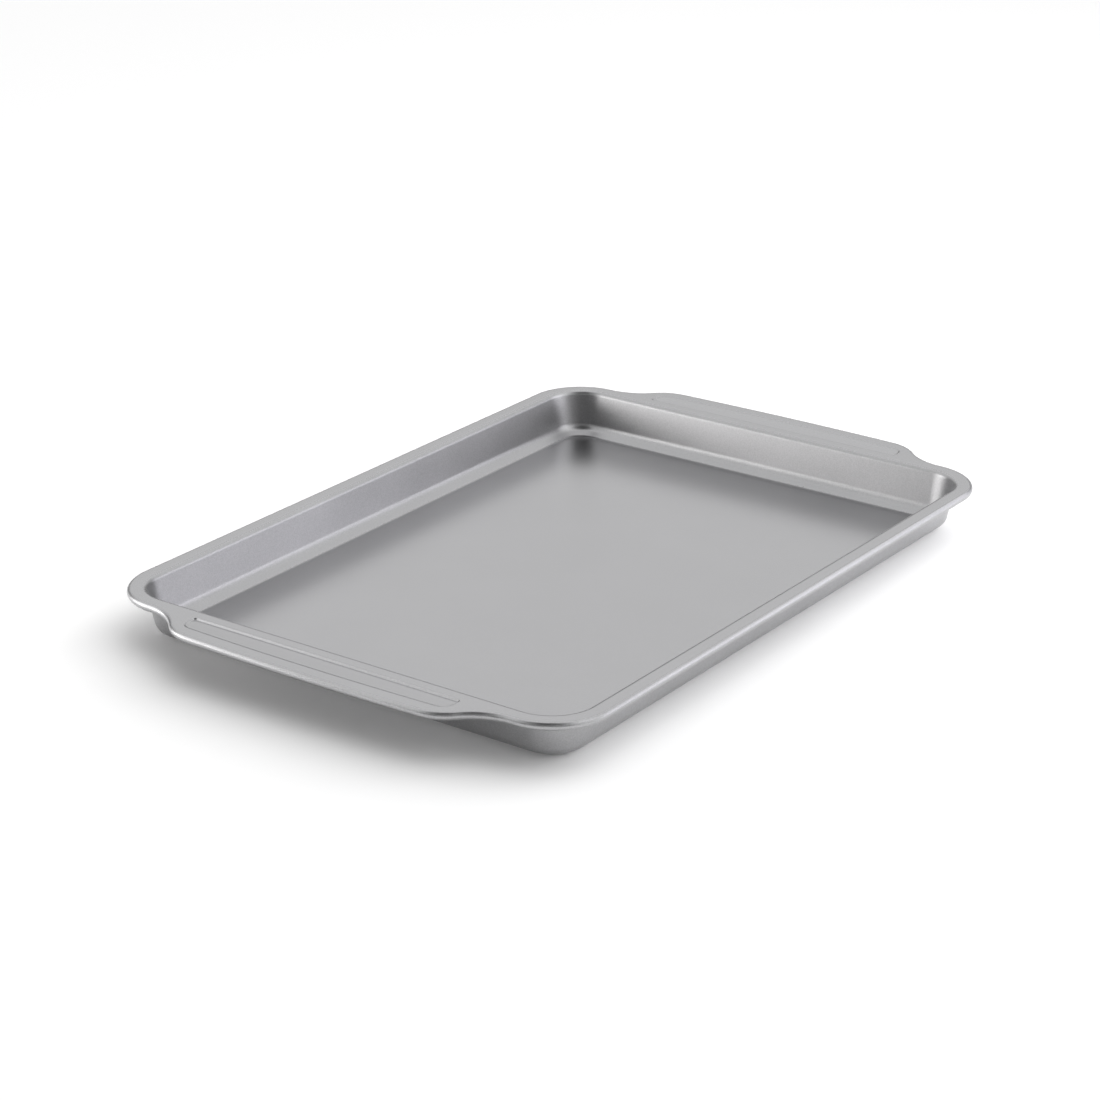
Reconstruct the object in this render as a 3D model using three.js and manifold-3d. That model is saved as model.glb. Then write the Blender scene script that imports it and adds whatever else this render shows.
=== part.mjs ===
// Cookie sheet: a shallow tray drawn from one steel blank, with a grip handle at each short end,
// and the wire that its rim is rolled round.
// Millimetres, +Z up. X runs along the long sides, so the handles are at the ends of X.
// The origin is on the surface that the tray stands on, under the middle of its floor.

import * as THREE from "three";
import Module from "manifold-3d";

// Tray: the opening is measured where the walls' inside faces would meet the plane of the rim's top.
const OPENING_LENGTH = 382;
const OPENING_WIDTH = 266.4;
const INSIDE_DEPTH = 24.6;
const SHEET = 0.8;
const WALL_DRAFT = 11; // degrees from upright
const CORNER_RADIUS = 22.2; // in plan, at the opening
const CHAMFER_RISE = 3.2; // height of the sloped band between wall and floor
const CHAMFER_SLOPE = 27.3; // degrees from the floor

// Bends of the sheet, measured on its upper face.
const FLOOR_BEND = 4.5;
const CHAMFER_BEND = 6;
const RIM_BEND = 3.1;

// Rim: a flat ledge whose edge is rolled down and under, round a wire.
const RIM_FLAT = 7.7; // opening to the middle of the roll
const CURL_TURN = 292.5; // degrees that the edge is rolled through
const WIRE_DIAMETER = 2.4;
const WIRE_CLEARANCE = 0.3; // between the wire and the inside of the roll
const WIRE_BUTT_GAP = 1; // between the wire's two cut ends

// Handles: the rim's ledge runs out into a bowed tab, through a hollow curve and a round shoulder.
const HANDLE_REACH = 19; // beyond the plain rim
const HANDLE_BOW_RADIUS = 1950;
const HANDLE_ROOT_RADIUS = 34;
const HANDLE_SHOULDER_RADIUS = 23;

// Thumb panel pressed into each handle: it follows the handle's edge, and is straight on the tray's side.
// Its floor falls evenly from the outer side to the tray's side, where the thumb finds a step.
const PANEL_LENGTH = 164;
const PANEL_WIDTH = 13.8; // in the middle of its length
const PANEL_EDGE_MARGIN = 5.2; // panel to the middle of the roll
const PANEL_STEP_DEPTH = 1; // at the side towards the tray
const PANEL_EDGE_DEPTH = 0.5; // at the outer side
const PANEL_SIDE_RUN = 1.2; // plan width of the panel's sloped sides
const PANEL_OUTER_CORNER = 7; // at the panel's open edge
const PANEL_INNER_CORNER = 2.4; // at the panel's open edge

// Facets.
const BEND_STEPS = 4;
const RIM_BEND_STEPS = 5;
const CURL_STEPS = 13;
const CORNER_STEPS = 7;
const OGEE_STEPS = 4; // in each of the hollow and the shoulder
const BOW_STEPS = 3; // in half a handle
const WIRE_SIDES = 8;

// Worked-out sizes.
const CURL_RADIUS = WIRE_DIAMETER / 2 + WIRE_CLEARANCE + SHEET;
const RIM_TOP = SHEET + INSIDE_DEPTH;
const CURL_MIDDLE_Z = RIM_TOP - CURL_RADIUS;
const HALF_LENGTH = OPENING_LENGTH / 2;
const HALF_WIDTH = OPENING_WIDTH / 2;
const HANDLE_EDGE = HALF_LENGTH + RIM_FLAT + HANDLE_REACH;
const QUARTER_TURN = Math.PI / 2;
const UP = new THREE.Vector3(0, 0, 1);
const radians = THREE.MathUtils.degToRad;

// The unit vector at an angle, in plan or in section.
function heading(angle) {
  return new THREE.Vector2(Math.cos(angle), Math.sin(angle));
}

// Points along an arc, each with the way out from the arc's middle.
function arc(middle, radius, from, to, steps) {
  return Array.from({ length: steps + 1 }, (_, k) => {
    const out = heading(from + ((to - from) * k) / steps);
    return { point: middle.clone().addScaledVector(out, radius), out };
  });
}

// A bend in the sheet's section, turning from one heading to another, as points of the upper face with
// that face's normals. The sheet travels from the floor outwards, so its upper face is on the left.
function bend(start, from, to, radius, steps) {
  const side = Math.sign(to - from);
  const middle = heading(from + QUARTER_TURN).multiplyScalar(side * radius).add(start);
  const quarter = side * QUARTER_TURN;
  return arc(middle, radius, from - quarter, to - quarter, steps).map(({ point, out }) => ({
    point,
    normal: out.multiplyScalar(-side),
  }));
}

// A bend that rounds off a corner of the section.
function bendAtCorner(corner, from, to, radius, steps) {
  const tangent = radius * Math.tan(Math.abs(to - from) / 2);
  return bend(corner.clone().addScaledVector(heading(from), -tangent), from, to, radius, steps);
}

// The sheet's section. x is the offset outwards from the opening, y is the height.
function traySection() {
  const wallHeading = QUARTER_TURN - radians(WALL_DRAFT);
  const chamferHeading = radians(CHAMFER_SLOPE);
  const chamferTop = new THREE.Vector2(
    -(INSIDE_DEPTH - CHAMFER_RISE) * Math.tan(radians(WALL_DRAFT)),
    SHEET + CHAMFER_RISE,
  );
  const floorEdge = new THREE.Vector2(chamferTop.x - CHAMFER_RISE / Math.tan(chamferHeading), SHEET);
  const rimCorner = new THREE.Vector2(0, RIM_TOP);
  const curlStart = new THREE.Vector2(RIM_FLAT, RIM_TOP);
  return {
    body: [
      ...bendAtCorner(floorEdge, 0, chamferHeading, FLOOR_BEND, BEND_STEPS),
      ...bendAtCorner(chamferTop, chamferHeading, wallHeading, CHAMFER_BEND, BEND_STEPS),
      ...bendAtCorner(rimCorner, wallHeading, 0, RIM_BEND, RIM_BEND_STEPS),
    ],
    curl: bend(curlStart, 0, -radians(CURL_TURN), CURL_RADIUS, CURL_STEPS),
  };
}

// Where two circles cross, on the right of the line from the first middle to the second.
function crossing(a, radiusA, b, radiusB) {
  const line = b.clone().sub(a);
  const span = line.length();
  const along = (radiusA ** 2 - radiusB ** 2 + span ** 2) / (2 * span);
  const across = Math.sqrt(radiusA ** 2 - along ** 2);
  line.normalize();
  return a
    .clone()
    .addScaledVector(line, along)
    .addScaledVector(new THREE.Vector2(line.y, -line.x), across);
}

// Middles of the arcs that make the rim's outline in the quarter at +X and +Y. The hollow at the
// handle's root starts where the tray's corner ends, and the shoulder joins it to the bowed edge.
const cornerMiddle = new THREE.Vector2(HALF_LENGTH - CORNER_RADIUS, HALF_WIDTH - CORNER_RADIUS);
const rootMiddle = new THREE.Vector2(HALF_LENGTH + RIM_FLAT + HANDLE_ROOT_RADIUS, cornerMiddle.y);
const bowMiddle = new THREE.Vector2(HANDLE_EDGE - HANDLE_BOW_RADIUS, 0);
const shoulderMiddle = crossing(
  bowMiddle,
  HANDLE_BOW_RADIUS - HANDLE_SHOULDER_RADIUS,
  rootMiddle,
  HANDLE_ROOT_RADIUS + HANDLE_SHOULDER_RADIUS,
);
const bowEnd = shoulderMiddle.clone().sub(bowMiddle).angle();
const ogeeTurn = rootMiddle.clone().sub(shoulderMiddle).angle();

// One quarter of the rim, from the middle of the handle at +X to the end of the corner. Each station
// holds a point of the opening with the way out from it, and a point of the rolled edge with its normal.
function quarterStations() {
  const bow = arc(bowMiddle, HANDLE_BOW_RADIUS, 0, bowEnd, BOW_STEPS);
  const shoulder = arc(shoulderMiddle, HANDLE_SHOULDER_RADIUS, bowEnd, ogeeTurn, OGEE_STEPS);
  const root = arc(rootMiddle, HANDLE_ROOT_RADIUS, ogeeTurn + Math.PI, Math.PI, OGEE_STEPS);
  const corner = arc(cornerMiddle, CORNER_RADIUS + RIM_FLAT, 0, QUARTER_TURN, CORNER_STEPS);
  const onHandle = (normalSense) => ({ point, out }) => ({
    edge: point,
    normal: out.clone().multiplyScalar(normalSense),
    opening: new THREE.Vector2(HALF_LENGTH, point.y),
    out: new THREE.Vector2(1, 0),
  });
  const onCorner = ({ point, out }) => ({
    edge: point,
    normal: out,
    opening: cornerMiddle.clone().addScaledVector(out, CORNER_RADIUS),
    out,
  });
  return [
    ...bow.map(onHandle(1)),
    ...shoulder.slice(1).map(onHandle(1)),
    ...root.slice(1, -1).map(onHandle(-1)),
    ...corner.map(onCorner),
  ];
}

// The whole rim, anticlockwise from the middle of the long side at +Y round to it again.
function rimStations() {
  const quarter = quarterStations();
  const back = quarter.slice().reverse();
  const flipped = (stations, x, y) =>
    stations.map((station) =>
      Object.fromEntries(
        Object.entries(station).map(([key, v]) => [key, new THREE.Vector2(v.x * x, v.y * y)]),
      ),
    );
  return [
    ...flipped(back, -1, 1),
    ...flipped(quarter.slice(1), -1, -1),
    ...flipped(back, 1, -1),
    ...quarter.slice(1),
  ];
}

// A closed skin over a run of rings, with a flat cap on the first ring and on the last. Seen from the
// side that the run comes from, the rings go anticlockwise where it widens and clockwise where it goes up.
function skin(rings) {
  const count = rings[0].length;
  const points = rings.flat();
  const faces = [];
  for (let r = 0; r + 1 < rings.length; r++) {
    for (let i = 0; i < count; i++) {
      const a = r * count + i;
      const b = r * count + ((i + 1) % count);
      faces.push(a, a + count, b + count, a, b + count, b);
    }
  }
  const cap = (ring, first, reversed) => {
    const middle = points.length;
    points.push(ring.reduce((sum, p) => sum.add(p), new THREE.Vector3()).divideScalar(count));
    for (let i = 0; i < count; i++) {
      const pair = [first + i, first + ((i + 1) % count)];
      faces.push(middle, ...(reversed ? pair.reverse() : pair));
    }
  };
  cap(rings[0], 0, false);
  cap(rings.at(-1), (rings.length - 1) * count, true);
  const geometry = new THREE.BufferGeometry().setFromPoints(points);
  geometry.setIndex(faces);
  geometry.computeVertexNormals();
  return geometry;
}

// The drawn sheet: the section carried round the rim, up one face of the sheet and back down the other.
function drawnSheet() {
  const { body, curl } = traySection();
  const stations = rimStations();
  const face = (depth) => ({ point, normal }) => point.clone().addScaledVector(normal, -depth);
  const ring = (base, way, offset) => (p) =>
    stations.map((station) => {
      const plan = station[base].clone().addScaledVector(station[way], p.x - offset);
      return new THREE.Vector3(plan.x, plan.y, p.y);
    });
  const sheetFace = (depth) => [
    ...body.map(face(depth)).map(ring("opening", "out", 0)),
    ...curl.map(face(depth)).map(ring("edge", "normal", RIM_FLAT)),
  ];
  return skin([...sheetFace(0), ...sheetFace(SHEET).reverse()]);
}

const panelEdgeX = HANDLE_EDGE - PANEL_EDGE_MARGIN;
const panelStepX = panelEdgeX - PANEL_WIDTH;

// How deep the panel's floor lies at a distance along X.
function panelDepth(x) {
  return THREE.MathUtils.mapLinear(x, panelStepX, panelEdgeX, PANEL_STEP_DEPTH, PANEL_EDGE_DEPTH);
}

// The outline of the thumb panel on the handle at +X, drawn in from the panel's open edge by an inset. It
// runs along the handle's edge, round the outer corner, across the end and round the inner corner.
function panelOutline(inset) {
  const bow = HANDLE_BOW_RADIUS - PANEL_EDGE_MARGIN;
  const outerY = PANEL_LENGTH / 2 - PANEL_OUTER_CORNER;
  const outerX = Math.sqrt((bow - PANEL_OUTER_CORNER) ** 2 - outerY ** 2);
  const outerMiddle = bowMiddle.clone().add(new THREE.Vector2(outerX, outerY));
  const innerMiddle = new THREE.Vector2(
    panelStepX + PANEL_INNER_CORNER,
    PANEL_LENGTH / 2 - PANEL_INNER_CORNER,
  );
  const turn = outerMiddle.clone().sub(bowMiddle).angle();
  const half = [
    ...arc(bowMiddle, bow - inset, 0, turn, BOW_STEPS),
    ...arc(outerMiddle, PANEL_OUTER_CORNER - inset, turn, QUARTER_TURN, OGEE_STEPS).slice(1),
    ...arc(innerMiddle, PANEL_INNER_CORNER - inset, QUARTER_TURN, Math.PI, OGEE_STEPS),
  ].map(({ point }) => point);
  const mirrored = half.slice(1).map((p) => new THREE.Vector2(p.x, -p.y));
  return [...half, ...mirrored.reverse()];
}

// The panel's sunk form: upright for some height over its open edge, then sloped sides to its floor.
function panelForm(openZ, height) {
  const level = (z) => panelOutline(0).map((p) => new THREE.Vector3(p.x, p.y, z));
  const floor = panelOutline(PANEL_SIDE_RUN).map(
    (p) => new THREE.Vector3(p.x, p.y, openZ - panelDepth(p.x)),
  );
  return skin([level(openZ + height), level(openZ), floor]);
}

const wasm = await Module();
wasm.setup();

// A closed geometry as a solid that can be joined and cut.
function solidOf(geometry) {
  return new wasm.Manifold(
    new wasm.Mesh({
      numProp: 3,
      vertProperties: geometry.attributes.position.array,
      triVerts: new Uint32Array(geometry.index.array),
    }),
  );
}

// A solid as a geometry that can be drawn.
function geometryOf(solid) {
  const { vertProperties, triVerts } = solid.getMesh();
  const geometry = new THREE.BufferGeometry();
  geometry.setAttribute("position", new THREE.BufferAttribute(vertProperties, 3));
  geometry.setIndex(new THREE.BufferAttribute(triVerts, 1));
  geometry.computeVertexNormals();
  return geometry;
}

// The tray with both panels pressed in: the sheet bulges below as far as it is sunk above.
function pressedTray() {
  const bulge = panelForm(RIM_TOP - SHEET, SHEET / 2);
  const hollow = panelForm(RIM_TOP, SHEET);
  const otherEnd = (geometry) => geometry.clone().rotateZ(Math.PI);
  const solid = solidOf(drawnSheet())
    .add(solidOf(bulge))
    .add(solidOf(otherEnd(bulge)))
    .subtract(solidOf(hollow))
    .subtract(solidOf(otherEnd(hollow)));
  return geometryOf(solid);
}

// The rim wire: bent to the rim's shape from one length, its cut ends butted on a long side.
function bentWire() {
  const sideY = HALF_WIDTH + RIM_FLAT;
  const cutEnd = (x) => ({ edge: new THREE.Vector2(x, sideY), normal: new THREE.Vector2(0, 1) });
  const route = [cutEnd(-WIRE_BUTT_GAP / 2), ...rimStations(), cutEnd(WIRE_BUTT_GAP / 2)];
  const rings = route.map(({ edge, normal }) => {
    const middle = new THREE.Vector3(edge.x, edge.y, CURL_MIDDLE_Z);
    const outwards = new THREE.Vector3(normal.x, normal.y, 0);
    return Array.from({ length: WIRE_SIDES }, (_, k) => {
      const round = heading((2 * Math.PI * k) / WIRE_SIDES).multiplyScalar(WIRE_DIAMETER / 2);
      return middle.clone().addScaledVector(outwards, round.x).addScaledVector(UP, round.y);
    });
  });
  return skin(rings);
}

function namedMesh(name, geometry, material) {
  const mesh = new THREE.Mesh(geometry, material);
  mesh.name = name;
  return mesh;
}

const coatedSteel = new THREE.MeshStandardMaterial({ color: 0xb5b5b7, roughness: 0.42, metalness: 0.7 });
const drawnWire = new THREE.MeshStandardMaterial({ color: 0x9a9a98, roughness: 0.35, metalness: 1 });

const cookieSheet = new THREE.Group();
cookieSheet.add(namedMesh("tray_shell", pressedTray(), coatedSteel));
cookieSheet.add(namedMesh("rim_wire", bentWire(), drawnWire));

export default cookieSheet;
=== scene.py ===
import math

import bmesh
import bpy
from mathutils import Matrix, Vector


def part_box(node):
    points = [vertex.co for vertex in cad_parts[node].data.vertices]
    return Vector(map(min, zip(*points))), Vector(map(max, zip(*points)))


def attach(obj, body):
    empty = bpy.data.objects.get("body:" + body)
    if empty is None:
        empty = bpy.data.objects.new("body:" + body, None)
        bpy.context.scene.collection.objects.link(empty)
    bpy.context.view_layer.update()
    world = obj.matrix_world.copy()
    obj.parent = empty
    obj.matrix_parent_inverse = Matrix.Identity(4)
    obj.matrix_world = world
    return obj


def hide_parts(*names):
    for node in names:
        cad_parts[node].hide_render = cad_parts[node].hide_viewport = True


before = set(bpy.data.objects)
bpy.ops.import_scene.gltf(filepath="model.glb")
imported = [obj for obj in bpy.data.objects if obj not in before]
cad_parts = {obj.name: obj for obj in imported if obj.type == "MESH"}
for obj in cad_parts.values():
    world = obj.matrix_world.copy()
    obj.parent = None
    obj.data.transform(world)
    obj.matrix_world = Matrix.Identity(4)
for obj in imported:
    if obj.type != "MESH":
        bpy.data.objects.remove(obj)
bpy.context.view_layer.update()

# Tray shell, first the pressed blank: one sheet of 0.8 mm steel, drawn in a press into a flat floor, a
# sloped band, drafted walls and a level rim that runs out into a grip handle at each short end.
# A second stroke sinks a thumb panel into each handle. All lengths are in metres.
SHEET = 0.0008
RIM_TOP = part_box("tray_shell")[1].z
OPENING_LENGTH = 0.382
OPENING_WIDTH = 0.2664
CORNER_RADIUS = 0.0222
WALL_DRAFT = math.radians(11)
BAND_RISE = 0.0032
BAND_SLOPE = math.radians(27.3)
FLOOR_BEND = 0.0045
BAND_BEND = 0.006
RIM_BEND = 0.0031
BEND_STEPS = 9
CORNER_STEPS = 20
FLAT_STRIP = 0.0004  # level strip beside each bend, which keeps the bend's shading off the flats
SAME_PLACE = 1e-6  # points nearer than this are one point

half_length = OPENING_LENGTH / 2
half_width = OPENING_WIDTH / 2
corner_middle = Vector((half_length - CORNER_RADIUS, half_width - CORNER_RADIUS))


def heading(angle):
    return Vector((math.cos(angle), math.sin(angle)))


def arc(middle, radius, start, stop, steps):
    return [middle + radius * heading(start + (stop - start) * k / steps) for k in range(steps + 1)]


def rounded_corner(corner, before, after, radius, steps):
    """The arc that rounds a corner of the sheet's section, between two headings."""
    side = math.copysign(math.pi / 2, after - before)
    start = corner - heading(before) * radius * math.tan(abs(after - before) / 2)
    return arc(start + heading(before + side) * radius, radius, before - side, after - side, steps)


def wall_section():
    """The upper face of the sheet, from the floor to the rim, as offset from the opening and height."""
    wall = math.pi / 2 - WALL_DRAFT
    band_top = Vector(((SHEET + BAND_RISE - RIM_TOP) * math.tan(WALL_DRAFT), SHEET + BAND_RISE))
    floor_edge = Vector((band_top.x - BAND_RISE / math.tan(BAND_SLOPE), SHEET))
    bends = [
        *rounded_corner(floor_edge, 0, BAND_SLOPE, FLOOR_BEND, BEND_STEPS),
        *rounded_corner(band_top, BAND_SLOPE, wall, BAND_BEND, BEND_STEPS),
        *rounded_corner(Vector((0, RIM_TOP)), wall, 0, RIM_BEND, BEND_STEPS),
    ]
    strip = Vector((FLAT_STRIP, 0))
    return [bends[0] - strip, *bends, bends[-1] + strip]


def all_round(quarter):
    """A quarter outline, anticlockwise from +X to +Y, carried round all four quarters."""
    back = quarter[::-1]
    flips = [(quarter, 1, 1), (back, -1, 1), (quarter, -1, -1), (back, 1, -1)]
    points = [Vector((p.x * x, p.y * y)) for run, x, y in flips for p in run]
    return [p for k, p in enumerate(points) if (p - points[k - 1]).length > SAME_PLACE]


def opening_outline(offset):
    return all_round(arc(corner_middle, CORNER_RADIUS + offset, 0, math.pi / 2, CORNER_STEPS))


# The rim's outline, to the line where its edge starts to roll down: a bowed handle edge, a round
# shoulder, a hollow at the handle's root and the tray's corner.
RIM_FLAT = 0.0077
HANDLE_REACH = 0.019
BOW_RADIUS = 1.95
ROOT_RADIUS = 0.034
SHOULDER_RADIUS = 0.023
BOW_STEPS = 8
OGEE_STEPS = 14

handle_edge = half_length + RIM_FLAT + HANDLE_REACH
bow_middle = Vector((handle_edge - BOW_RADIUS, 0))
root_middle = Vector((half_length + RIM_FLAT + ROOT_RADIUS, corner_middle.y))


def crossing(a, radius_a, b, radius_b):
    """Where two circles cross, on the right of the line from a to b."""
    span = (b - a).length
    ahead_of_a = (b - a) / span
    right_of_a = Vector((ahead_of_a.y, -ahead_of_a.x))
    reach = (radius_a**2 - radius_b**2 + span**2) / (2 * span)
    return a + ahead_of_a * reach + right_of_a * math.sqrt(radius_a**2 - reach**2)


def angle_from(a, b):
    return math.atan2(b.y - a.y, b.x - a.x)


shoulder_middle = crossing(
    bow_middle, BOW_RADIUS - SHOULDER_RADIUS, root_middle, ROOT_RADIUS + SHOULDER_RADIUS
)


def rim_outline(inset):
    bow_end = angle_from(bow_middle, shoulder_middle)
    turn = angle_from(shoulder_middle, root_middle)
    return all_round(
        [
            *arc(bow_middle, BOW_RADIUS - inset, 0, bow_end, BOW_STEPS),
            *arc(shoulder_middle, SHOULDER_RADIUS - inset, bow_end, turn, OGEE_STEPS)[1:],
            *arc(root_middle, ROOT_RADIUS + inset, turn + math.pi, math.pi, OGEE_STEPS)[1:-1],
            *arc(corner_middle, CORNER_RADIUS + RIM_FLAT - inset, 0, math.pi / 2, CORNER_STEPS),
        ]
    )


# The thumb panel: its side is an S, over the edge and into the foot, and its floor falls towards the
# tray. The side is gentler along the handle's outer edge than on the tray's side.
PANEL_LENGTH = 0.164
PANEL_WIDTH = 0.0138
PANEL_EDGE_MARGIN = 0.0052
PANEL_STEP_DEPTH = 0.001
PANEL_EDGE_DEPTH = 0.0005
PANEL_SIDE_RUN = 0.0012
PANEL_EDGE_RUN = 0.0017
PANEL_OUTER_CORNER = 0.007
PANEL_INNER_CORNER = 0.0024
PANEL_STEPS = 12

panel_edge_x = handle_edge - PANEL_EDGE_MARGIN
panel_step_x = panel_edge_x - PANEL_WIDTH


def panel_outline(inset):
    """The panel's outline, drawn in on the tray's side, and by more where its side is gentler."""
    edge_inset = inset * PANEL_EDGE_RUN / PANEL_SIDE_RUN
    bow = BOW_RADIUS - PANEL_EDGE_MARGIN
    outer_y = PANEL_LENGTH / 2 - PANEL_OUTER_CORNER
    outer_x = math.sqrt((bow - PANEL_OUTER_CORNER) ** 2 - outer_y**2)
    outer_middle = bow_middle + Vector((outer_x, outer_y))
    inner_middle = Vector((panel_step_x, PANEL_LENGTH / 2)) + PANEL_INNER_CORNER * Vector((1, -1))
    turn = angle_from(bow_middle, outer_middle)
    half_outline = [
        *arc(bow_middle, bow - edge_inset, 0, turn, BOW_STEPS),
        *arc(outer_middle, PANEL_OUTER_CORNER - edge_inset, turn, math.pi / 2, PANEL_STEPS)[1:],
        *arc(inner_middle, PANEL_INNER_CORNER - inset, math.pi / 2, math.pi, PANEL_STEPS),
    ]
    return half_outline + [Vector((p.x, -p.y)) for p in half_outline[:0:-1]]


def panel_rings():
    """The panel's rings, from its open edge to its floor: each an outline and its share of the depth."""
    rings = [(panel_outline(-FLAT_STRIP), 0)]
    for k in range(PANEL_STEPS + 1):
        share = (1 - math.cos(math.pi * k / PANEL_STEPS)) / 2
        rings.append((panel_outline(PANEL_SIDE_RUN * k / PANEL_STEPS), share))
    rings.append((panel_outline(PANEL_SIDE_RUN + FLAT_STRIP), 1))
    return rings


def panel_depth(x):
    """The floor of the panel falls evenly from its outer side to the tray's side."""
    fall = (PANEL_STEP_DEPTH - PANEL_EDGE_DEPTH) / PANEL_WIDTH
    return PANEL_EDGE_DEPTH + fall * (panel_edge_x - abs(x))


def pressed_blank():
    """The blank's upper face as a mesh that ends at the line where the edge starts to roll."""
    bm = bmesh.new()

    def ring(outline, z):
        return [bm.verts.new((p.x, p.y, z)) for p in outline]

    def panel_ring(outline, share, end):
        spots = [(p.x * end, p.y * end, RIM_TOP - share * panel_depth(p.x)) for p in outline]
        return [bm.verts.new(spot) for spot in spots]

    def bridge(inner, outer):
        for k in range(len(inner)):
            bm.faces.new((inner[k - 1], outer[k - 1], outer[k], inner[k]))

    def edges_of(loop):
        return [bm.edges.get((loop[k - 1], loop[k])) for k in range(len(loop))]

    walls = [ring(opening_outline(p.x), p.y) for p in wall_section()]
    bm.faces.new(walls[0])
    for inner, outer in zip(walls, walls[1:]):
        bridge(inner, outer)
    rim_strip = ring(rim_outline(FLAT_STRIP), RIM_TOP)
    bridge(rim_strip, ring(rim_outline(0), RIM_TOP))
    rim_flat = edges_of(walls[-1]) + edges_of(rim_strip)
    for end in (1, -1):
        panel = [panel_ring(outline, share, end) for outline, share in panel_rings()]
        for outer, inner in zip(panel, panel[1:]):
            bridge(inner, outer)
        bm.faces.new(panel[-1])
        rim_flat += edges_of(panel[0])
    bmesh.ops.triangle_fill(bm, edges=rim_flat, use_beauty=True, normal=(0, 0, 1))
    mesh = bpy.data.meshes.new("pressed_blank")
    bm.to_mesh(mesh)
    bm.free()
    return mesh


# Tray shell, its coating: a silver-grey non-stick film, sprayed on both faces and baked. It is aluminium
# flake in a satin film, with the fine pebbled skin of a sprayed finish.
COATING_DARK = (0.364, 0.364, 0.37, 1)
COATING_LIGHT = (0.524, 0.524, 0.534, 1)
COATING_ROUGHNESS = (0.22, 0.28)
DRAWN_ROUGHNESS = 0.12  # added where the press has stretched the coating, on walls and bends
FLAT_GRAIN = 0.3  # how much of the grain shows on the flats, where the coating lies smooth
FLAKE_SIZE = 0.00045
PEBBLE_SIZE = 0.0009
PEBBLE_HEIGHT = 0.000014
CLOUD_SIZE = 0.05
CLOUD_SHARE = 0.5  # of the tone; the flakes give the rest
MID_TONE = 0.5
GRAIN_DETAIL = 2
STEEP_NORMAL = 0.6  # upright share of the normal at which a place is as steep as a wall


def material(name):
    made = bpy.data.materials.new(name)
    made.use_nodes = True
    return made, made.node_tree.nodes, made.node_tree.links


def grain_group():
    """Fine grain of a metal surface: a tone that varies from spot to spot, and a height for bump."""
    group = bpy.data.node_groups.new("metal_grain", "ShaderNodeTree")
    sockets = group.interface
    sockets.new_socket("Position", in_out="INPUT", socket_type="NodeSocketVector")
    for name in ("Flake Scale", "Pebble Scale", "Cloud Scale"):
        sockets.new_socket(name, in_out="INPUT", socket_type="NodeSocketFloat")
    sockets.new_socket("Tone", in_out="OUTPUT", socket_type="NodeSocketFloat")
    sockets.new_socket("Height", in_out="OUTPUT", socket_type="NodeSocketFloat")
    nodes, links = group.nodes, group.links
    given = nodes.new("NodeGroupInput")
    put = nodes.new("NodeGroupOutput")
    flake = nodes.new("ShaderNodeTexWhiteNoise")
    cells = nodes.new("ShaderNodeTexVoronoi")
    pebble = nodes.new("ShaderNodeTexNoise")
    pebble.inputs["Detail"].default_value = GRAIN_DETAIL
    cloud = nodes.new("ShaderNodeTexNoise")
    cloud.inputs["Detail"].default_value = GRAIN_DETAIL
    for texture, scale in ((cells, "Flake Scale"), (pebble, "Pebble Scale"), (cloud, "Cloud Scale")):
        links.new(given.outputs["Position"], texture.inputs["Vector"])
        links.new(given.outputs[scale], texture.inputs["Scale"])
    links.new(cells.outputs["Position"], flake.inputs["Vector"])
    tone = nodes.new("ShaderNodeMix")
    tone.inputs["Factor"].default_value = CLOUD_SHARE
    links.new(flake.outputs["Value"], tone.inputs["A"])
    links.new(cloud.outputs["Fac"], tone.inputs["B"])
    links.new(tone.outputs["Result"], put.inputs["Tone"])
    links.new(pebble.outputs["Fac"], put.inputs["Height"])
    return group


metal_grain = grain_group()


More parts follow.
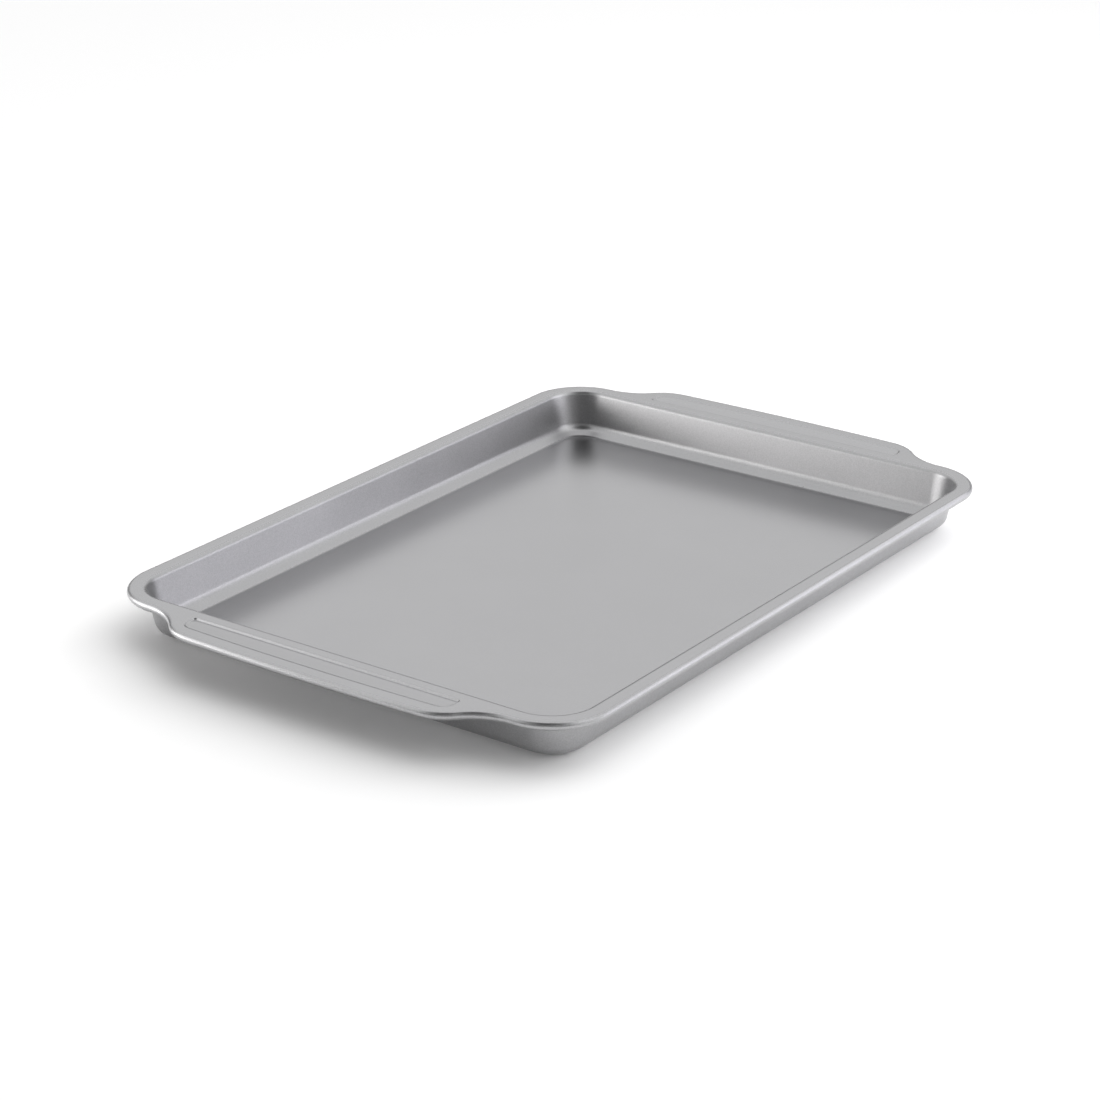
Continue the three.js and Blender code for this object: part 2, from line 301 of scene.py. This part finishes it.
def grained_metal(name, dark, light, roughness, drawn, flat_grain, flake, pebble, cloud, pebble_height):
    """A metal whose colour, roughness and relief follow the grain, by a given share where it is level."""
    made, nodes, links = material(name)
    shader = nodes["Principled BSDF"]
    place = nodes.new("ShaderNodeTexCoord")
    grain = nodes.new("ShaderNodeGroup")
    grain.node_tree = metal_grain
    for socket, size in (("Flake Scale", flake), ("Pebble Scale", pebble), ("Cloud Scale", cloud)):
        grain.inputs[socket].default_value = 1 / size
    links.new(place.outputs["Object"], grain.inputs["Position"])
    colour = nodes.new("ShaderNodeMix")
    colour.data_type = "RGBA"
    colour.inputs["A"].default_value = dark
    colour.inputs["B"].default_value = light
    rough = nodes.new("ShaderNodeMapRange")
    for label, value in zip(("To Min", "To Max"), roughness):
        rough.inputs[label].default_value = value
    bump = nodes.new("ShaderNodeBump")
    bump.inputs["Distance"].default_value = pebble_height
    tilt = nodes.new("ShaderNodeSeparateXYZ")
    upright = nodes.new("ShaderNodeMath")
    upright.operation = "ABSOLUTE"
    links.new(place.outputs["Normal"], tilt.inputs[0])
    links.new(tilt.outputs["Z"], upright.inputs[0])

    def by_tilt(flat, steep):
        """A value that goes from one on level places to another on walls and bends."""
        node = nodes.new("ShaderNodeMapRange")
        limits = {"From Min": 1, "From Max": STEEP_NORMAL, "To Min": flat, "To Max": steep}
        for label, value in limits.items():
            node.inputs[label].default_value = value
        links.new(upright.outputs[0], node.inputs["Value"])
        return node.outputs["Result"]

    def times_plus(a, b, extra):
        """a times b, plus a further value."""
        node = nodes.new("ShaderNodeMath")
        node.operation = "MULTIPLY_ADD"
        for socket, source in zip(node.inputs, (a, b, extra)):
            if isinstance(source, bpy.types.NodeSocket):
                links.new(source, socket)
            else:
                socket.default_value = source
        return node.outputs[0]

    shown = by_tilt(flat_grain, 1)
    tone = times_plus(times_plus(grain.outputs["Tone"], 1, -MID_TONE), shown, MID_TONE)
    links.new(tone, colour.inputs["Factor"])
    links.new(tone, rough.inputs["Value"])
    links.new(times_plus(grain.outputs["Height"], shown, 0), bump.inputs["Height"])
    links.new(times_plus(rough.outputs["Result"], 1, by_tilt(0, drawn)), shader.inputs["Roughness"])
    links.new(colour.outputs["Result"], shader.inputs["Base Color"])
    links.new(bump.outputs["Normal"], shader.inputs["Normal"])
    return made, shader


coating, coating_shader = grained_metal(
    "silver_nonstick_coating",
    dark=COATING_DARK,
    light=COATING_LIGHT,
    roughness=COATING_ROUGHNESS,
    drawn=DRAWN_ROUGHNESS,
    flat_grain=FLAT_GRAIN,
    flake=FLAKE_SIZE,
    pebble=PEBBLE_SIZE,
    cloud=CLOUD_SIZE,
    pebble_height=PEBBLE_HEIGHT,
)
coating_shader.inputs["Metallic"].default_value = 1

# Tray shell, its rolled edge: the rim's edge is turned down and under, round a wire, all along the
# outline, so that no raw edge shows. It is the same sheet, so it is joined to the blank's mesh, and the
# whole is given the sheet's thickness below its upper face.
WIRE_DIAMETER = 0.0024
WIRE_CLEARANCE = 0.0003
ROLL_START = math.radians(-90)  # the top of the roll
ROLL_TURN = math.radians(292.5)
ROLL_STEPS = 26
SHARP_ANGLE = math.radians(40)

roll_radius = WIRE_DIAMETER / 2 + WIRE_CLEARANCE + SHEET
roll_middle_z = RIM_TOP - roll_radius


def linked(made):
    bpy.context.scene.collection.objects.link(made)
    return made


def line_object(name, points, closed):
    """A polyline as a curve object, for a section to be swept along."""
    curve = bpy.data.curves.new(name, "CURVE")
    curve.dimensions = "3D"
    spline = curve.splines.new("POLY")
    spline.points.add(len(points) - 1)
    for spot, p in zip(spline.points, points):
        spot.co = (p.x, p.y, roll_middle_z, 1)
    spline.use_cyclic_u = closed
    return linked(bpy.data.objects.new(name, curve))


class SweepTree:
    """A Geometry Nodes tree with named inputs, that ends in plain geometry with a material."""

    def __init__(self, name, inputs):
        self.tree = bpy.data.node_groups.new(name, "GeometryNodeTree")
        sockets = self.tree.interface
        sockets.new_socket("Geometry", in_out="INPUT", socket_type="NodeSocketGeometry")
        for label, kind in inputs.items():
            sockets.new_socket(label, in_out="INPUT", socket_type="NodeSocket" + kind)
        sockets.new_socket("Geometry", in_out="OUTPUT", socket_type="NodeSocketGeometry")
        self.given = self.tree.nodes.new("NodeGroupInput").outputs

    def step(self, kind, **feeds):
        node = self.tree.nodes.new("GeometryNode" + kind)
        for label, source in feeds.items():
            socket = node.inputs[label.replace("_", " ")]
            if isinstance(source, bpy.types.NodeSocket):
                self.tree.links.new(source, socket)
            else:
                socket.default_value = source
        return node

    def sweep(self, line, section, closed_ends):
        """The section swept along a level line, kept upright: its X points outwards and its Y down."""
        upright = self.step("SetCurveNormal", Curve=line)
        upright.mode = "Z_UP"
        line = upright.outputs[0]
        return self.step("CurveToMesh", Curve=line, Profile_Curve=section, Fill_Caps=closed_ends)

    def end_with(self, geometry, finish):
        smooth = self.step("SetShadeSmooth", Geometry=geometry)
        realized = self.step("RealizeInstances", Geometry=smooth.outputs[0])
        painted = self.step("SetMaterial", Geometry=realized.outputs[0], Material=finish)
        self.tree.links.new(painted.outputs[0], self.tree.nodes.new("NodeGroupOutput").inputs[0])

    def apply_to(self, base, **values):
        modifier = base.modifiers.new(self.tree.name, "NODES")
        modifier.node_group = self.tree
        for socket in self.tree.interface.items_tree:
            if socket.in_out == "INPUT" and socket.name in values:
                modifier[socket.identifier] = values[socket.name]


def plain_piece(name, base):
    """What the base's modifiers make of it, as an object with a plain mesh. The base goes."""
    made = base.evaluated_get(bpy.context.evaluated_depsgraph_get())
    mesh = bpy.data.meshes.new_from_object(made)
    mesh.name = name
    mesh.set_sharp_from_angle(angle=SHARP_ANGLE)
    bpy.data.objects.remove(base)
    return linked(bpy.data.objects.new(name, mesh))


def rolled_edge():
    """Sweeps the roll's section round the rim and joins it to the blank."""
    sizes = {"Radius": "Float", "Turn": "Float", "Points": "Int"}
    roll = SweepTree("rolled_edge", {"Line": "Object", **sizes, "Finish": "Material"})
    line = roll.step("ObjectInfo", Object=roll.given["Line"])
    section = roll.step(
        "CurveArc",
        Resolution=roll.given["Points"],
        Radius=roll.given["Radius"],
        Start_Angle=ROLL_START,
        Sweep_Angle=roll.given["Turn"],
    )
    edge = roll.sweep(line.outputs["Geometry"], section.outputs["Curve"], False)
    sheet = roll.step("JoinGeometry")
    roll.tree.links.new(roll.given["Geometry"], sheet.inputs[0])
    roll.tree.links.new(edge.outputs[0], sheet.inputs[0])
    sealed = roll.step("MergeByDistance", Geometry=sheet.outputs[0], Distance=SAME_PLACE)
    roll.end_with(sealed.outputs[0], roll.given["Finish"])
    return roll


rim_line = line_object("rim_line", rim_outline(0), True)
blank = linked(bpy.data.objects.new("blank", pressed_blank()))
rolled_edge().apply_to(
    blank, Line=rim_line, Radius=roll_radius, Turn=ROLL_TURN, Points=ROLL_STEPS + 1, Finish=coating
)
gauge = blank.modifiers.new("gauge", "SOLIDIFY")
gauge.thickness = SHEET
gauge.offset = -1
gauge.use_even_offset = True
tray = plain_piece("drawn_tray", blank)
bpy.data.objects.remove(rim_line)
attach(tray, "root")
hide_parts("tray_shell")

# Rim wire: plain drawn steel, bent to the rim's outline from one length and butted on a long side.
# The roll holds it all the way round, and it shows only through the slit under the rim.
WIRE_BUTT_GAP = 0.001
WIRE_SIDES = 20
WIRE_DARK = (0.3, 0.3, 0.3, 1)
WIRE_LIGHT = (0.42, 0.42, 0.41, 1)
WIRE_ROUGHNESS = (0.28, 0.42)
WIRE_GRAIN = 0.0002
WIRE_MARK = 0.0006
WIRE_MARK_HEIGHT = 0.000003
WIRE_CLOUD = 0.02

wire_steel, wire_shader = grained_metal(
    "drawn_wire_steel",
    dark=WIRE_DARK,
    light=WIRE_LIGHT,
    roughness=WIRE_ROUGHNESS,
    drawn=0,
    flat_grain=1,
    flake=WIRE_GRAIN,
    pebble=WIRE_MARK,
    cloud=WIRE_CLOUD,
    pebble_height=WIRE_MARK_HEIGHT,
)
wire_shader.inputs["Metallic"].default_value = 1


def wire_route():
    """The rim's line, round from one side of the butt, midway along the long side at +Y, to the other."""
    outline = rim_outline(0)
    side_y = half_width + RIM_FLAT
    first = 1 + max(k for k, p in enumerate(outline) if p.y > side_y - SAME_PLACE and p.x > 0)
    gap = Vector((WIRE_BUTT_GAP / 2, 0))
    butt = Vector((0, side_y))
    return [butt - gap, *outline[first:], *outline[:first], butt + gap]


wire_bend = SweepTree("bent_wire", {"Diameter": "Float", "Sides": "Int", "Finish": "Material"})
wire_radius = wire_bend.tree.nodes.new("ShaderNodeMath")
wire_radius.operation = "DIVIDE"
wire_radius.inputs[1].default_value = 2
wire_bend.tree.links.new(wire_bend.given["Diameter"], wire_radius.inputs[0])
wire_section = wire_bend.step(
    "CurvePrimitiveCircle", Resolution=wire_bend.given["Sides"], Radius=wire_radius.outputs[0]
)
swept_wire = wire_bend.sweep(wire_bend.given["Geometry"], wire_section.outputs["Curve"], True)
wire_bend.end_with(swept_wire.outputs[0], wire_bend.given["Finish"])
wire_line = line_object("wire_line", wire_route(), False)
wire_bend.apply_to(wire_line, Diameter=WIRE_DIAMETER, Sides=WIRE_SIDES, Finish=wire_steel)
wire = plain_piece("bent_wire", wire_line)
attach(wire, "root")
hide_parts("rim_wire")

# Studio floor: a plain sheet of white paper under the tray, which keeps the tray's soft shadow. It is
# lifted a little for the camera and for what the metal mirrors, up to the white of the background.
FLOOR_SIZE = 6
FLOOR_COLOUR = (0.88, 0.88, 0.88, 1)
FLOOR_LIFT = 0.08


def seen_or_mirrored(nodes, links):
    """1 for rays from the camera, or from a mirroring or clear surface, and 0 for the rest."""
    path = nodes.new("ShaderNodeLightPath")
    found = path.outputs["Is Camera Ray"]
    for ray in ("Is Glossy Ray", "Is Transmission Ray"):
        either = nodes.new("ShaderNodeMath")
        either.operation = "MAXIMUM"
        links.new(found, either.inputs[0])
        links.new(path.outputs[ray], either.inputs[1])
        found = either.outputs[0]
    return found


paper, paper_nodes, paper_links = material("studio_paper")
paper_shader = paper_nodes["Principled BSDF"]
paper_shader.inputs["Base Color"].default_value = FLOOR_COLOUR
paper_shader.inputs["Roughness"].default_value = 1
paper_shader.inputs["Specular IOR Level"].default_value = 0
paper_shader.inputs["Emission Color"].default_value = (1, 1, 1, 1)
lift = paper_nodes.new("ShaderNodeMath")
lift.operation = "MULTIPLY"
lift.inputs[1].default_value = FLOOR_LIFT
paper_links.new(seen_or_mirrored(paper_nodes, paper_links), lift.inputs[0])
paper_links.new(lift.outputs[0], paper_shader.inputs["Emission Strength"])
bpy.ops.mesh.primitive_plane_add(size=FLOOR_SIZE)
floor = bpy.context.object
floor.name = "studio_floor"
floor.data.materials.append(paper)

# Studio light: a white room. What the metal mirrors of it is dark on the photographer's side, in a low
# strip and two patches, dim low down behind the tray, and grey at the sides but for a glow at the right.
# Two lamps stand beyond each long side, and a fifth lights the paper and isn't mirrored.
VIEW_HEADING = math.radians(35.745)
# A pair of values is where a fade starts and stops: RISE by how far a ray of the room points up, and
# TURN and REACH by how far it points in a direction.
SIDE_LEVEL = 0.45
SIDE_TURN = (0.65, 0.9)
SIDE_RISE = (0.35, 0.6)
BACK_LEVEL = 0.1
BACK_TURN = (0.3, 0.7)
BACK_RISE = (0.1, 0.35)
DARK_LEVEL = 0
LOW_STRIP_HEADING = math.radians(198)
LOW_STRIP_TURN = (0.74, 0.93)
LOW_STRIP_RISE = (0.18, 0.42)
HIGH_PATCH_HEADING = math.radians(206)
HIGH_PATCH_PITCH = math.radians(57)
HIGH_PATCH_REACH = (0.8, 0.95)
FLOOR_PATCH_HEADING = math.radians(230)
FLOOR_PATCH_DIP = -0.35
FLOOR_PATCH_REACH = (0.8, 0.95)
FRONT_HEADING = math.radians(278)
FRONT_TURN = (0.87, 0.97)
FRONT_GLOW = 0.5
KEY_HEADING = math.radians(-20)  # the side from which the room lights what isn't a mirror
KEY_RISE = 0.35
KEY_REACH = (-0.4, 0.9)
KEY_LEVEL = 1.95
WARM = (1, 0.985, 0.975)
COOL = (0.945, 0.93, 1)
WHITE = (1, 1, 1)

scene = bpy.context.scene
world = bpy.data.worlds.new("white_studio")
scene.world = world
world.use_nodes = True
sky, join = world.node_tree.nodes, world.node_tree.links
look = sky.new("ShaderNodeTexCoord")


def along(direction):
    """How far a ray of the room points in a direction."""
    node = sky.new("ShaderNodeVectorMath")
    node.operation = "DOT_PRODUCT"
    node.inputs[1].default_value = direction
    join.new(look.outputs["Generated"], node.inputs[0])
    return node.outputs["Value"]


def around(angle):
    """How near a ray's heading is to an angle, at any height: the cosine of the turn between them."""
    flat = sky.new("ShaderNodeVectorMath")
    flat.operation = "MULTIPLY"
    flat.inputs[1].default_value = (1, 1, 0)
    unit = sky.new("ShaderNodeVectorMath")
    unit.operation = "NORMALIZE"
    dot = sky.new("ShaderNodeVectorMath")
    dot.operation = "DOT_PRODUCT"
    dot.inputs[1].default_value = (*heading(angle), 0)
    join.new(look.outputs["Generated"], flat.inputs[0])
    join.new(flat.outputs["Vector"], unit.inputs[0])
    join.new(unit.outputs["Vector"], dot.inputs[0])
    return dot.outputs["Value"]


def fade(value, limits, before, after):
    """A smooth change from one level to another, while a value goes between two limits."""
    node = sky.new("ShaderNodeMapRange")
    node.interpolation_type = "SMOOTHSTEP"
    for label, number in zip(("From Min", "From Max", "To Min", "To Max"), (*limits, before, after)):
        node.inputs[label].default_value = number
    join.new(value, node.inputs["Value"])
    return node.outputs["Result"]


def combine(operation, a, b):
    node = sky.new("ShaderNodeMath")
    node.operation = operation
    for socket, source in zip(node.inputs, (a, b)):
        if isinstance(source, bpy.types.NodeSocket):
            join.new(source, socket)
        else:
            socket.default_value = source
    return node.outputs[0]


up = along((0, 0, 1))
ahead = along((*heading(VIEW_HEADING), 0))
low_strip = combine(
    "MAXIMUM",
    fade(around(LOW_STRIP_HEADING), LOW_STRIP_TURN, 1, DARK_LEVEL),
    fade(up, LOW_STRIP_RISE, 0, 1),
)
high_way = (*heading(HIGH_PATCH_HEADING) * math.cos(HIGH_PATCH_PITCH), math.sin(HIGH_PATCH_PITCH))
high_patch = fade(along(high_way), HIGH_PATCH_REACH, 1, DARK_LEVEL)
floor_way = (*heading(FLOOR_PATCH_HEADING), FLOOR_PATCH_DIP)
floor_patch = fade(along(floor_way), FLOOR_PATCH_REACH, 1, DARK_LEVEL)
dark_side = combine("MINIMUM", combine("MULTIPLY", low_strip, high_patch), floor_patch)
behind = combine("MAXIMUM", fade(up, BACK_RISE, BACK_LEVEL, 1), fade(ahead, BACK_TURN, 1, 0))
sides = combine("MAXIMUM", fade(ahead, SIDE_TURN, SIDE_LEVEL, 1), fade(up, SIDE_RISE, SIDE_LEVEL, 1))
front = fade(around(FRONT_HEADING), FRONT_TURN, 0, FRONT_GLOW)
bright_room = combine("MULTIPLY", behind, combine("ADD", sides, front))
mirrored = combine("MULTIPLY", dark_side, bright_room)
key = fade(along((*heading(KEY_HEADING), KEY_RISE)), KEY_REACH, 0, KEY_LEVEL)
mirror_ray = seen_or_mirrored(sky, join)
room_mirrored = combine("MULTIPLY", mirror_ray, mirrored)
room_light = combine("MULTIPLY", combine("SUBTRACT", 1, mirror_ray), key)
lit = combine("ADD", room_mirrored, room_light)
camera_ray = sky.new("ShaderNodeLightPath").outputs["Is Camera Ray"]
background = sky["Background"]
background.inputs["Color"].default_value = (1, 1, 1, 1)
join.new(combine("MAXIMUM", lit, camera_ray), background.inputs["Strength"])


def soft_lamp(name, place, target, width, height, spread, power, colour):
    """An area lamp that points at a target and isn't in the picture."""
    lamp = bpy.data.lights.new(name, "AREA")
    lamp.shape = "RECTANGLE"
    lamp.size = width
    lamp.size_y = height
    lamp.spread = math.radians(spread)
    lamp.energy = power
    lamp.color = colour
    made = linked(bpy.data.objects.new(name, lamp))
    made.location = place
    made.rotation_euler = (Vector(target) - Vector(place)).to_track_quat("-Z", "Y").to_euler()
    made.visible_camera = False
    return made


soft_lamp(
    "left_softbox",
    place=(-0.333, 0.645, 0.3),
    target=(0.19, 0.02, 0),
    width=0.6,
    height=0.26,
    spread=60,
    power=0.16,
    colour=WARM,
)
soft_lamp(
    "left_strip",
    place=(-0.515, 0.655, 0.1),
    target=(0, 0, 0),
    width=0.6,
    height=0.2,
    spread=180,
    power=1.42,
    colour=WARM,
)
soft_lamp(
    "right_softbox",
    place=(0.4, -0.42, 0.23),
    target=(0, 0, 0),
    width=0.6,
    height=0.3,
    spread=180,
    power=0.53,
    colour=COOL,
)
soft_lamp(
    "right_strip",
    place=(0.45, -0.6, 0.1),
    target=(0, 0, 0),
    width=0.6,
    height=0.2,
    spread=180,
    power=0.46,
    colour=COOL,
)
paper_lamp = soft_lamp(
    "paper_lamp",
    place=(1.05, -0.5, 0.7),
    target=(0, -0.15, 0),
    width=0.8,
    height=0.8,
    spread=180,
    power=4.8,
    colour=WHITE,
)
paper_lamp.visible_glossy = False

# Camera: a long lens at the photograph's place, which looks down over the near handle at a spot in the
# rim's plane, near the middle of the tray.
VIEW_PITCH = math.radians(22.079)
VIEW_TARGET = Vector((-0.02734, -0.00803, 0.0254))
VIEW_DISTANCE = 1.51394
LENS = 96.346
SENSOR_WIDTH = 36

aim = Vector((*heading(VIEW_HEADING) * math.cos(VIEW_PITCH), -math.sin(VIEW_PITCH)))
lens = bpy.data.cameras.new("camera")
lens.lens = LENS
lens.sensor_fit = "HORIZONTAL"
lens.sensor_width = SENSOR_WIDTH
camera = linked(bpy.data.objects.new("camera", lens))
camera.location = VIEW_TARGET - aim * VIEW_DISTANCE
camera.rotation_euler = aim.to_track_quat("-Z", "Y").to_euler()
scene.camera = camera
scene.view_settings.view_transform = "Standard"
